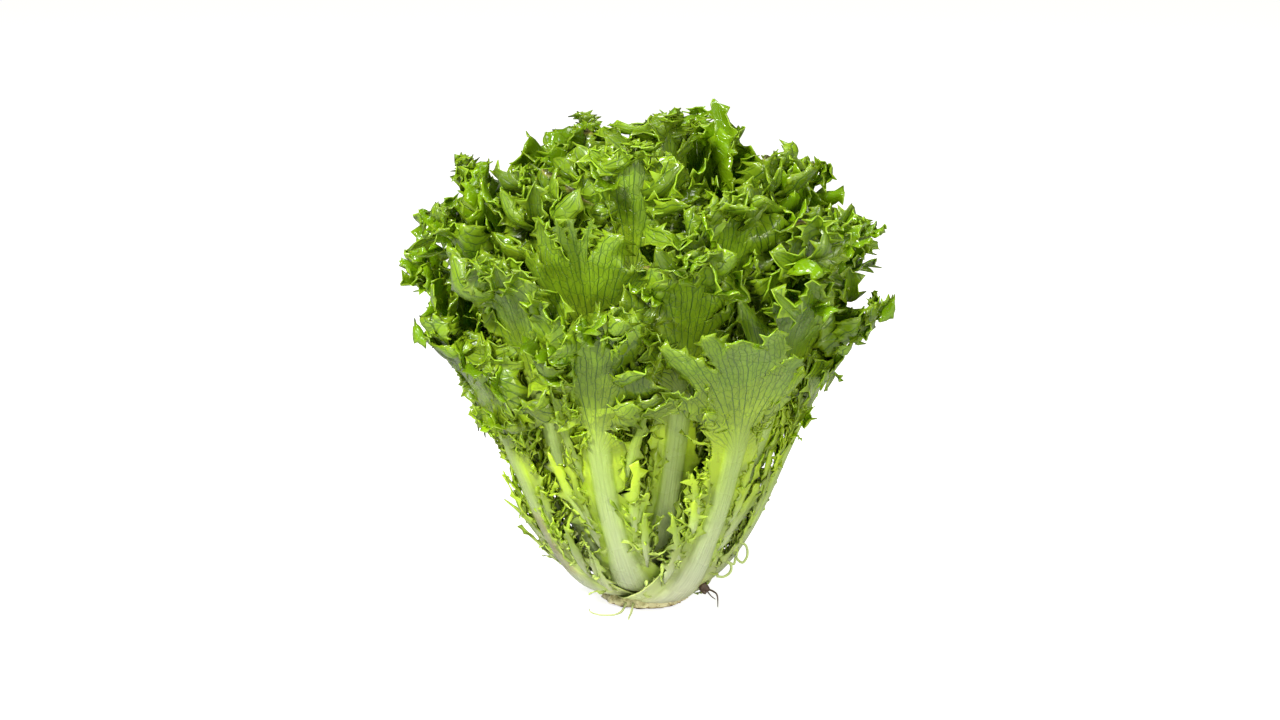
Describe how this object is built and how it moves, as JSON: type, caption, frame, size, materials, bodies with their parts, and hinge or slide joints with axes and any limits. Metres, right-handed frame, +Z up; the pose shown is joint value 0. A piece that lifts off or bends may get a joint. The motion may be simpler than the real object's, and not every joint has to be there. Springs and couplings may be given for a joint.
{
  "type": "batavia lettuce head",
  "caption": "Open frilled lettuce head that stands on its flat cut stem, with pale thick ribs and leaves cut into curled, toothed lobes.",
  "frame": {"origin": "centre of the flat cut face under the stem", "axes": "+Z up along the stem, -Y towards the front that the picture shows, +X to its right"},
  "size_m": [0.2299, 0.2342, 0.2351],
  "materials": {
    "leaf": "waxy satin, dark green lobes paling to a cream rib",
    "stem": "matt, pale cream, browned at the cut"
  },
  "bodies": {
    "root": {"stem": "stem", "leaf_01": "leaf", "leaf_02": "leaf", "leaf_03": "leaf", "leaf_04": "leaf", "leaf_05": "leaf", "leaf_06": "leaf", "leaf_07": "leaf", "leaf_08": "leaf", "leaf_09": "leaf", "leaf_10": "leaf", "leaf_11": "leaf", "leaf_12": "leaf", "leaf_13": "leaf", "leaf_14": "leaf", "leaf_15": "leaf", "leaf_16": "leaf", "leaf_17": "leaf", "leaf_18": "leaf", "leaf_19": "leaf", "leaf_20": "leaf", "leaf_21": "leaf", "leaf_22": "leaf", "leaf_23": "leaf", "leaf_24": "leaf", "leaf_25": "leaf", "leaf_26": "leaf", "leaf_27": "leaf", "leaf_28": "leaf", "leaf_29": "leaf", "leaf_30": "leaf"}
  },
  "joints": []
}
